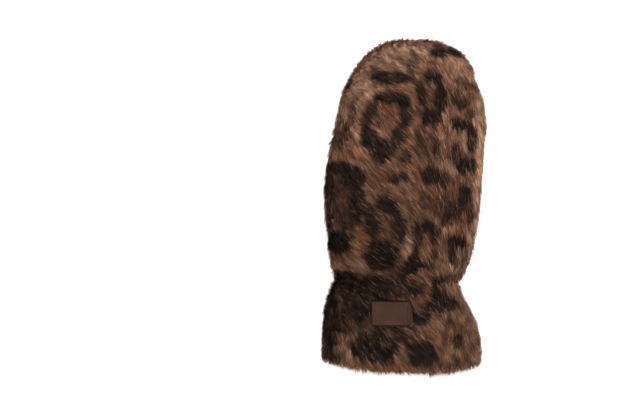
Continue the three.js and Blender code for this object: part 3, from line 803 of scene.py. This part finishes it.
def combed(point, normal, underside):
    """Unit direction in which the pile lies, turned from the flat onto the hide."""
    under = UNDER_LIE * waves(point, "under_lie")
    angle = np.radians(np.where(underside, under, lie_degrees(point[:, 0], point[:, 1])))
    flat = np.stack([np.sin(angle), -np.cos(angle), np.zeros_like(angle)], axis=-1)
    upright = np.zeros_like(flat)
    upright[:, 2] = np.where(underside, -1, 1)
    tip_over = np.maximum(1 + normal[:, 2] * upright[:, 2], LEAST_TIP_OVER)
    lie = flat - (dot(normal, flat) / tip_over)[:, None] * (normal + upright)
    lie -= dot(lie, normal)[:, None] * normal
    size = np.linalg.norm(lie, axis=1, keepdims=True)
    return lie / np.maximum(size, LEAST_LIE)


def room_before_label(point, normal, lie):
    """Distance along the lie from each root to the label, which the pile leaves bare."""
    enter = np.full(len(point), -np.inf)
    leave = np.full(len(point), np.inf)
    halves = (LABEL_LENGTH / 2 - LABEL_OVERLAP, LABEL_HEIGHT / 2 - LABEL_OVERLAP)
    for axis, (middle, half) in enumerate(zip(LABEL_SEEN, halves)):
        step = np.where(np.abs(lie[:, axis]) < LEAST_STEP, LEAST_STEP, lie[:, axis])
        ends = [(middle + half * sign - point[:, axis]) / step for sign in (-1, 1)]
        near, far = np.sort(np.stack(ends), axis=0)
        enter = np.maximum(enter, near)
        leave = np.minimum(leave, far)
    meets = (enter < leave) & (leave > 0) & (normal[:, 2] > 0)
    return np.where(meets, np.maximum(enter, 0), np.inf)


def clump_centres(point, size, seed):
    """For each root the middle of its clump, from one jittered middle in each cell of a grid."""
    cell = np.floor(point / size).astype(int)
    best = np.full(len(point), np.inf)
    middle = np.zeros_like(point)
    key = np.zeros(len(point))
    mix_x, mix_y, mix_z = CELL_MIX
    for shift in np.ndindex(3, 3, 3):
        other = cell + np.array(shift) - 1
        mixed = other[:, 0] * mix_x + other[:, 1] * mix_y + other[:, 2] * mix_z + seed
        jitter = np.stack([np.mod(np.sin(mixed * k) * JITTER_SCALE, 1) for k in JITTER_TURNS], axis=-1)
        spot = (other + jitter) * size
        distance = np.linalg.norm(point - spot, axis=1)
        nearer = distance < best
        best[nearer] = distance[nearer]
        middle[nearer] = spot[nearer]
        key[nearer] = jitter[nearer, 0]
    return middle, key


def leaning(lie, normal, angle):
    """Direction that rises by an angle from the lie of the pile towards the hide's normal."""
    return lie * np.cos(angle)[:, None] + normal * np.sin(angle)[:, None]


def rise(part, style, stand, guard, loose, key, rng):
    """Angle off the hide at which a part of each strand stands, in radians."""
    row = RISES[part]
    degrees = style[part] + stand + row["guard"] * guard + row["loose"] * loose + row["clump"] * (key - 0.5)
    return np.radians(degrees + rng.normal(0, row["spread"], len(key)))


def strand_form(point, normal, underside, style, rng):
    """Corners of bent tapering blades, and for their colours the lie, a chance and the clumps' keys."""
    count = len(point)
    lie = combed(point, normal, underside)
    side = np.cross(normal, lie)
    small, small_key = clump_centres(point, style["clump"], SMALL_CLUMP_SEED)
    large, large_key = clump_centres(point, style["clump"] * LARGE_CLUMP, LARGE_CLUMP_SEED)
    turn = np.radians(rng.normal(0, style["stray"], count) + CLUMP_TURN * (small_key - 0.5))
    lie = lie * np.cos(turn)[:, None] + side * np.sin(turn)[:, None]
    side = np.cross(normal, lie)

    # Guard hairs stand up more, and most of all where the hide turns down at the sides
    chance = rng.random(count)
    guard = (chance > GUARD_ABOVE) | (chance < GUARD_BELOW)
    loose = guard * (1 - np.abs(normal[:, 2]))
    full = style["length"] * rng.uniform(*LENGTH_SPREAD, count) * (CLUMP_SHORTEST + CLUMP_LONGER * small_key)
    length = np.minimum(full, np.maximum(room_before_label(point, normal, lie), SHORTEST))
    stand = LABEL_STAND * (1 - length / full)
    belly_rise = rise("belly", style, stand, guard, loose, large_key, rng)
    tip_rise = rise("tip", style, stand, guard, loose, small_key, rng)
    belly = point + (BELLY_SHARE * length)[:, None] * leaning(lie, normal, belly_rise)
    tip = belly + ((1 - BELLY_SHARE) * length)[:, None] * leaning(lie, normal, tip_rise)

    # Clumps draw the strands' upper parts together, sideways only
    for middle, pull in ((small, SMALL_CLUMP_PULL), (large, LARGE_CLUMP_PULL)):
        off = dot(middle - point, side)[:, None] * side
        belly = belly + off * pull * BELLY_PULL
        tip = tip + off * pull

    roll = np.radians(rng.normal(0, ROLL_SPREAD, count))
    flat = side * np.cos(roll)[:, None] + normal * np.sin(roll)[:, None]
    half = flat * (style["width"] * rng.uniform(*WIDTH_SPREAD, count) / 2)[:, None]
    belly_half = half * BELLY_WIDTH
    corners = np.stack([point - half, point + half, belly + belly_half, belly - belly_half, tip], axis=1)
    corners[..., 2] = np.maximum(corners[..., 2], FLOOR_CLEARANCE + FLOOR_SPREAD * rng.random((count, 1)))
    return corners, tip, lie, chance, small_key, large_key


def strand_values(point, normal, tip, lie, chance, small_key, large_key, strokes, rng):
    """What the material reads: one value for each strand, and one for each corner along it."""
    count = len(point)
    stray = rng.normal(0, PRINT_STRAY, count) + CLUMP_SHIFT * (small_key - 0.5)
    seen = point + SEEN_SHARE * (tip - point) + lie * stray[:, None]
    x, y = seen[:, 0], seen[:, 1]
    sideways = 1 - np.abs(normal[:, 2])
    # On the back the mark also carries painted shade: the wrist crease shadow and the darkening towards the
    # cuff
    mark = print_and_shade_depth(x, y, strokes) * np.where(chance > PALE_ABOVE, PALE_MARK, 1)
    values = {
        "mark": np.clip(mark + rng.normal(0, MARK_SPREAD, count), 0, 1),
        # The tint is raised at the sides: partly paler fur, partly painted rim light
        "tint": tint_at(x, y) + EDGE_TINT_AND_RIM_LIGHT * sideways**2 + rng.normal(0, TINT_SPREAD, count),
        "chance": chance,
        "clump": small_key,
        "hue": large_key,
        "orange": soft_spots(x, y, ORANGES),
    }
    values = {name: np.repeat(value, STRAND_CORNERS) for name, value in values.items()}
    # Place along each strand, raised at the sides; the material darkens the roots by it as painted shade
    values["along"] = (EDGE_LIGHT * sideways[:, None] + CORNERS_ALONG).ravel()
    return values


def strand_mesh(name, corners, values):
    """A mesh of strands with their values stored on its points, and a cell for each strand to bake in."""
    count = len(corners)
    numbers = np.arange(count)
    mesh = bpy.data.meshes.new(name)
    mesh.vertices.add(STRAND_CORNERS * count)
    mesh.vertices.foreach_set("co", (corners.reshape(-1) * MM).astype(np.float32))
    loops = (STRAND_CORNERS * numbers[:, None] + np.array([STRAND_LOOPS])).ravel()
    mesh.loops.add(len(loops))
    mesh.loops.foreach_set("vertex_index", loops.astype(np.int32))
    starts = (len(STRAND_LOOPS) * numbers[:, None] + np.array([FACE_STARTS])).ravel()
    totals = np.tile(FACE_SIZES, count)
    mesh.polygons.add(len(starts))
    mesh.polygons.foreach_set("loop_start", starts.astype(np.int32))
    mesh.polygons.foreach_set("loop_total", totals.astype(np.int32))
    mesh.update(calc_edges=True)
    mesh.validate()
    for key, data in values.items():
        layer = mesh.attributes.new(key, "FLOAT", "POINT")
        layer.data.foreach_set("value", data.astype(np.float32))

    cells_across = math.ceil(math.sqrt(count))
    cell = np.stack([numbers % cells_across, numbers // cells_across], axis=-1)
    layout = (cell[:, None, :] + np.array([BAKE_CELL])) / cells_across
    uv = mesh.uv_layers.new(name="OFBake")
    uv.data.foreach_set("uv", layout.reshape(-1).astype(np.float32))
    mesh.materials.append(FUR)
    piece = bpy.data.objects.new(name, mesh)
    bpy.context.collection.objects.link(piece)
    return piece


# Materials


def colour(red, green, blue):
    """A linear colour from the usual 0 to 255 values."""
    return tuple((c / 255) ** 2.2 for c in (red, green, blue)) + (1.0,)


# Ground colours of the fur, laid over one another: each comes in as its value goes from one number to
# another, up to the most that it covers
TONE_COLUMNS = ("value", "start", "end", "most", "colour")
FUR_TONES = [
    # The warm tan also carries painted rim light at the sides and down the right edge
    ("tint", 0.0, 1.0, 1.0, colour(168, 131, 108)),
    ("tint", 0.0, -0.8, 1.0, colour(58, 47, 38)),
    ("hue", 0.55, 0.95, 0.6, colour(96, 56, 41)),
    ("hue", 0.45, 0.05, 0.5, colour(74, 59, 46)),
    ("orange", 0.0, 1.0, 0.75, colour(119, 77, 54)),
    ("chance", 0.88, 0.96, 0.7, colour(136, 103, 83)),
]

# Shades that the fur's colour is multiplied by: a value's range, and the shades that it is spread over
SHADE_COLUMNS = ("value", "start", "end", "darkest", "lightest")
FUR_SHADES = [
    ("clump", 0.0, 1.0, 0.55, 1.45),
    ("chance", 0.0, 0.6, 0.45, 1.15),
    # Painted shade deep in the pile: darker towards the roots, partly also a darker undercoat and paler tips
    ("along", 0.0, 0.7, 0.35, 1.1),
]
FUR_PLAIN = (colour(55, 37, 29), colour(88, 61, 47))
FUR_DARK = (colour(15, 11, 10), colour(31, 24, 21))
HIDE_COLOURS = (colour(62, 46, 38), colour(88, 67, 55))
LEATHER_COLOURS = (colour(48, 33, 26), colour(57, 40, 31))
LEATHER_WORN = colour(42, 30, 25)


class Nodes:
    """A material's node tree, built by short calls."""

    def __init__(self, name):
        self.material = bpy.data.materials.new(name)
        self.material.use_nodes = True
        self.tree = self.material.node_tree
        self.shader = self.tree.nodes["Principled BSDF"]

    def feed(self, socket, value):
        """Links a socket to another or gives it a constant."""
        if isinstance(value, bpy.types.NodeSocket):
            self.tree.links.new(value, socket)
        else:
            socket.default_value = value

    def attribute(self, name):
        """A value that is stored on the strands' points."""
        node = self.tree.nodes.new("ShaderNodeAttribute")
        node.attribute_name = name
        return node.outputs["Fac"]

    def spread(self, value, low, high, to_low=0.0, to_high=1.0):
        """A value from one range spread over another, and held at its ends."""
        node = self.tree.nodes.new("ShaderNodeMapRange")
        self.feed(node.inputs["Value"], value)
        self.feed(node.inputs["From Min"], low)
        self.feed(node.inputs["From Max"], high)
        self.feed(node.inputs["To Min"], to_low)
        self.feed(node.inputs["To Max"], to_high)
        return node.outputs["Result"]

    def mix(self, share, first, second, blend="MIX"):
        """Two colours mixed. Inputs 6 and 7 are the node's colours, and output 2 is the mixed one."""
        node = self.tree.nodes.new("ShaderNodeMix")
        node.data_type = "RGBA"
        node.blend_type = blend
        for number, value in ((0, share), (6, first), (7, second)):
            self.feed(node.inputs[number], value)
        return node.outputs[2]

    def noise(self, scale, detail=3.0):
        """Noise by place, with about as many spots in a metre as its scale says."""
        place = self.tree.nodes.new("ShaderNodeNewGeometry")
        node = self.tree.nodes.new("ShaderNodeTexNoise")
        self.feed(node.inputs["Scale"], scale)
        self.feed(node.inputs["Detail"], detail)
        self.feed(node.inputs["Vector"], place.outputs["Position"])
        return node.outputs["Fac"]

    def bump(self, height, strength, distance):
        """Gives the shader's surface a fine relief."""
        node = self.tree.nodes.new("ShaderNodeBump")
        self.feed(node.inputs["Strength"], strength)
        self.feed(node.inputs["Distance"], distance)
        self.feed(node.inputs["Height"], height)
        self.feed(self.shader.inputs["Normal"], node.outputs["Normal"])

    def finish(self, **values):
        """Feeds the shader's sockets, named in words joined by _, and returns the material."""
        for name, value in values.items():
            self.feed(self.shader.inputs[name.replace("_", " ")], value)
        return self.material


def fur_material():
    nodes = Nodes("fur")
    clump = nodes.attribute("clump")
    ground = nodes.mix(nodes.spread(clump, 0.1, 0.9), *FUR_PLAIN)
    for values in FUR_TONES:
        row = dict(zip(TONE_COLUMNS, values))
        share = nodes.spread(nodes.attribute(row["value"]), row["start"], row["end"], 0.0, row["most"])
        ground = nodes.mix(share, ground, row["colour"])
    dark = nodes.mix(nodes.spread(clump, 0.2, 0.9), *FUR_DARK)
    shaded = nodes.mix(nodes.attribute("mark"), ground, dark)
    for values in FUR_SHADES:
        row = dict(zip(SHADE_COLUMNS, values))
        value = nodes.attribute(row["value"])
        shade = nodes.spread(value, row["start"], row["end"], row["darkest"], row["lightest"])
        shaded = nodes.mix(1.0, shaded, shade, "MULTIPLY")
    return nodes.finish(Base_Color=shaded, Roughness=0.75, Specular_IOR_Level=0.06)


def hide_material():
    nodes = Nodes("fur_hide")
    tone = nodes.mix(nodes.noise(scale=260), *HIDE_COLOURS)
    return nodes.finish(Base_Color=tone, Roughness=0.9, Specular_IOR_Level=0.2)


def leather_material():
    nodes = Nodes("label_leather")
    grain = nodes.noise(scale=900, detail=6.0)
    broad = nodes.noise(scale=70)
    tone = nodes.mix(nodes.spread(broad, 0.3, 0.7), *LEATHER_COLOURS)
    worn = nodes.mix(nodes.spread(grain, 0.35, 0.75, 0.0, 0.4), tone, LEATHER_WORN)
    nodes.bump(grain, strength=0.25, distance=0.0003)
    shine = nodes.spread(grain, 0.2, 0.8, 0.5, 0.65)
    return nodes.finish(Base_Color=worn, Roughness=shine, Specular_IOR_Level=0.08)


FUR = fur_material()
HIDE = hide_material()
LEATHER = leather_material()


# Pieces

# The solids are centred over the origin, and the label tells by how much they were moved
label_low, label_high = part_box("leather_label")
SHIFT_X = (label_low[0] + label_high[0]) / 2 / MM - LABEL_X
SHIFT_Y = (label_low[1] + label_high[1]) / 2 / MM - LABEL_Y


def settle(piece, nodes=()):
    """Moves a piece's mesh by the solids' own shift and ties it to the frame."""
    places = np.empty(3 * len(piece.data.vertices), np.float32)
    piece.data.vertices.foreach_get("co", places)
    places = places.reshape(-1, 3) + np.array([SHIFT_X * MM, SHIFT_Y * MM, 0], np.float32)
    piece.data.vertices.foreach_set("co", places.ravel())
    piece.data.update()
    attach(piece, "root")
    if nodes:
        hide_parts(*nodes)


def make_hides():
    """The hand's two panels, the cuff and the thumb. Steps crowd together at the rounded ends."""
    upper = np.linspace(0, math.pi, HALF_STEPS)
    lower = np.linspace(math.pi, 2 * math.pi, HALF_STEPS)
    around = np.linspace(0, 2 * math.pi, ROUND_STEPS, endpoint=False)
    hand_shares = np.sin(np.linspace(0, math.pi / 2, HAND_STEPS))
    cuff_shares = np.linspace(0, 1, CUFF_STEPS)
    thumb_shares = (1 - np.cos(np.linspace(0, math.pi, THUMB_STEPS))) / 2
    back = shell("back_hide", hand_surface, hand_shares, upper, False, (True, False))
    palm = shell("palm_hide", hand_surface, hand_shares, lower, False, (True, False))
    cut_hole(palm, THUMB_THICKNESS / 2, HAND_THICKNESS)
    cuff = shell("cuff_hide", cuff_surface, cuff_shares, around, True, (True, True))
    thumb = shell("thumb_hide", thumb_surface, thumb_shares, around[::2], True, (False, False))
    cut_hole(thumb, THUMB_THICKNESS / 2 - PRESS, HAND_THICKNESS)
    settle(back, ["back_panel"])
    settle(palm, ["palm_panel"])
    settle(cuff, ["cuff"])
    settle(thumb, ["thumb"])


def everywhere(point, normal):
    """Weight that keeps all roots."""
    return np.ones(len(point))


def off_label(point, normal):
    """Weight that keeps roots out from under the label."""
    across = np.abs(point[:, 0] - LABEL_SEEN[0]) < LABEL_LENGTH / 2 + LABEL_OVERLAP
    along = np.abs(point[:, 1] - LABEL_SEEN[1]) < LABEL_HEIGHT / 2 + LABEL_OVERLAP
    return np.where(across & along & (normal[:, 2] > 0), 0.0, 1.0)


def off_hole(point, normal):
    """Weight that keeps roots off the faces that the thumb's opening cuts away."""
    across = (point[:, 0] - THUMB_X) * 2 / HOLE_WIDTH
    along = (point[:, 1] - HOLE_Y) * 2 / HOLE_LENGTH
    inside = across**2 + along**2 < HOLE_MARGIN
    facing = (np.abs(normal[:, 2]) > HOLE_FACING) & (point[:, 2] > THUMB_END_HEIGHT)
    return np.where(inside & facing, 0.0, 1.0)


def pile(name, surface, turn_span, style, underside, weight, strokes, parts=("",)):
    """Fur on one surface, in one object or in several. Where underside is None, each normal decides."""
    rng = rng_for(name)
    count = int(STRAND_COUNTS[name] * QUICK_SHARE)
    point, normal = roots_on(surface, turn_span, count, rng, weight)
    order = np.argsort(rng.random(count))
    for number, part in enumerate(parts):
        chosen = order[number :: len(parts)]
        roots, ups = point[chosen], normal[chosen]
        flags = ups[:, 2] < 0 if underside is None else np.full(len(chosen), underside)
        corners, *form = strand_form(roots, ups, flags, STYLES[style], rng)
        values = strand_values(roots, ups, *form, strokes, rng)
        settle(strand_mesh(name + part, corners, values))


def make_piles():
    upper = (0, math.pi)
    lower = (math.pi, 2 * math.pi)
    full = (0, 2 * math.pi)
    pile("back_fur", hand_surface, upper, "hand", False, everywhere, BACK_PRINT_AND_SHADE, ("_a", "_b"))
    pile("cuff_fur", cuff_surface, upper, "cuff", False, off_label, BACK_PRINT_AND_SHADE)
    pile("palm_fur", hand_surface, lower, "under", True, off_hole, UNDER_PRINT)
    pile("cuff_under_fur", cuff_surface, lower, "under", True, everywhere, UNDER_PRINT)
    pile("thumb_fur", thumb_surface, full, "under", None, off_hole, UNDER_PRINT)


def label_ring(inset):
    """Places round a rounded rectangle that is smaller than the label by an inset."""
    half = np.array([LABEL_LENGTH / 2 - inset, LABEL_HEIGHT / 2 - inset])
    radius = max(LABEL_CORNER - inset, LABEL_LEAST_CORNER)
    turn = np.linspace(0, 2 * math.pi, LABEL_SIDES, endpoint=False)
    ray = np.stack([np.cos(turn), np.sin(turn)], axis=-1) * (LABEL_LENGTH, LABEL_HEIGHT)
    ray = ray / np.max(np.abs(ray) / half, axis=1, keepdims=True)
    core = half - radius
    inner = np.clip(ray, -core, core)
    beyond = ray - inner
    size = np.linalg.norm(beyond, axis=1, keepdims=True)
    return np.where(size > radius, inner + beyond * radius / np.maximum(size, TINY), ray)


def label_top(place, inset):
    """Height of the leather's face over its underside, with a pressed fold near its right end."""
    edge = 1 - smoothstep(inset, 0, LABEL_EDGE)
    past = place[:, 0] - (LABEL_LENGTH / 2 - LABEL_FOLD)
    crease = CREASE_DEPTH * np.exp(-((past / CREASE_WIDTH) ** 2))
    fold = crease + FOLD_DROP * smoothstep(past, 0, LABEL_FOLD)
    puff = LABEL_PUFF * waves(place, "leather")
    return LABEL_THICKNESS - LABEL_SUNK - LABEL_EDGE_DROP * edge**2 - fold + puff


def make_label():
    """A slightly puffed leather label that stands in for the plain one and leans as it does."""
    low, high = (np.array(corner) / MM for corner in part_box("leather_label"))
    tilt = -math.asin((high[2] - low[2] - LABEL_THICKNESS) / LABEL_HEIGHT)
    insets = (LABEL_HEIGHT / 2 - LABEL_CORE) * np.linspace(0, 1, LABEL_RINGS) ** LABEL_RING_POWER
    points = [np.column_stack([label_ring(0), np.zeros(LABEL_SIDES)])]
    for inset in insets:
        ring = label_ring(inset)
        points.append(np.column_stack([ring, label_top(ring, inset)]))
    faces = grid_faces(LABEL_RINGS + 1, LABEL_SIDES, True).tolist()
    faces.append(list(range(LABEL_SIDES)))
    faces.append(list(range(LABEL_RINGS * LABEL_SIDES, (LABEL_RINGS + 1) * LABEL_SIDES)))
    local = np.vstack(points)
    up = local[:, 2] - LABEL_THICKNESS / 2
    across = LABEL_SEEN[0] + local[:, 0]
    along = LABEL_SEEN[1] + local[:, 1] * math.cos(tilt) - up * math.sin(tilt)
    height = (low[2] + high[2]) / 2 + local[:, 1] * math.sin(tilt) + up * math.cos(tilt)
    piece = mesh_object("label", np.column_stack([across, along, height]), faces, LEATHER)
    settle(piece, ["leather_label"])


# Studio

CAMERA_LENS_MM = 85
CAMERA_SENSOR_MM = 36
VIEW_WIDTH_MM = 544
VIEW_CENTRE_MM = (-70.1, 6)
MIDDLE_HEIGHT_MM = 28

WHITE = (1, 1, 1, 1)
WORLD_STRENGTH = 0.6
FLOOR_SIZE = 6
FLOOR_COLOUR = (0.9, 0.9, 0.9, 1)
FLOOR_GLOW = 0.72
LIGHT_AIM = (0, 0, 0.03)
LIGHT_COLUMNS = ("name", "place", "size", "power")
LIGHTS = [
    ("key", (0.5, 0.7, 1.3), 0.7, 28),
    ("fill", (-0.8, 0.45, 1.1), 1.0, 17),
]


def make_camera():
    """A camera straight above, as far away as its lens needs for the view's width."""
    data = bpy.data.cameras.new("camera")
    data.lens = CAMERA_LENS_MM
    data.sensor_width = CAMERA_SENSOR_MM
    camera = bpy.data.objects.new("camera", data)
    distance = VIEW_WIDTH_MM * CAMERA_LENS_MM / CAMERA_SENSOR_MM
    centre = (VIEW_CENTRE_MM[0] + SHIFT_X, VIEW_CENTRE_MM[1] + SHIFT_Y)
    camera.location = Vector((*centre, distance + MIDDLE_HEIGHT_MM)) * MM
    bpy.context.collection.objects.link(camera)
    bpy.context.scene.camera = camera


def make_light(row):
    """A round soft light from a row of the table."""
    data = bpy.data.lights.new(row["name"], "AREA")
    data.shape = "DISK"
    data.size = row["size"]
    data.energy = row["power"]
    light = bpy.data.objects.new(row["name"], data)
    light.location = row["place"]
    aim = Vector(LIGHT_AIM) - Vector(row["place"])
    light.rotation_euler = aim.to_track_quat("-Z", "Y").to_euler()
    bpy.context.collection.objects.link(light)


def make_studio():
    """A pale floor that glows a little, two soft lights and an even white world."""
    bpy.ops.mesh.primitive_plane_add(size=FLOOR_SIZE)
    floor = bpy.context.object
    floor.name = "floor"
    glow = {"Emission_Color": WHITE, "Emission_Strength": FLOOR_GLOW}
    floor.data.materials.append(Nodes("floor").finish(Base_Color=FLOOR_COLOUR, Roughness=0.9, **glow))
    for values in LIGHTS:
        make_light(dict(zip(LIGHT_COLUMNS, values)))
    world = bpy.data.worlds.new("studio")
    world.use_nodes = True
    background = world.node_tree.nodes["Background"]
    background.inputs["Color"].default_value = WHITE
    background.inputs["Strength"].default_value = WORLD_STRENGTH
    bpy.context.scene.world = world
    bpy.context.scene.view_settings.view_transform = "Standard"


make_camera()
make_studio()
make_hides()
make_piles()
make_label()
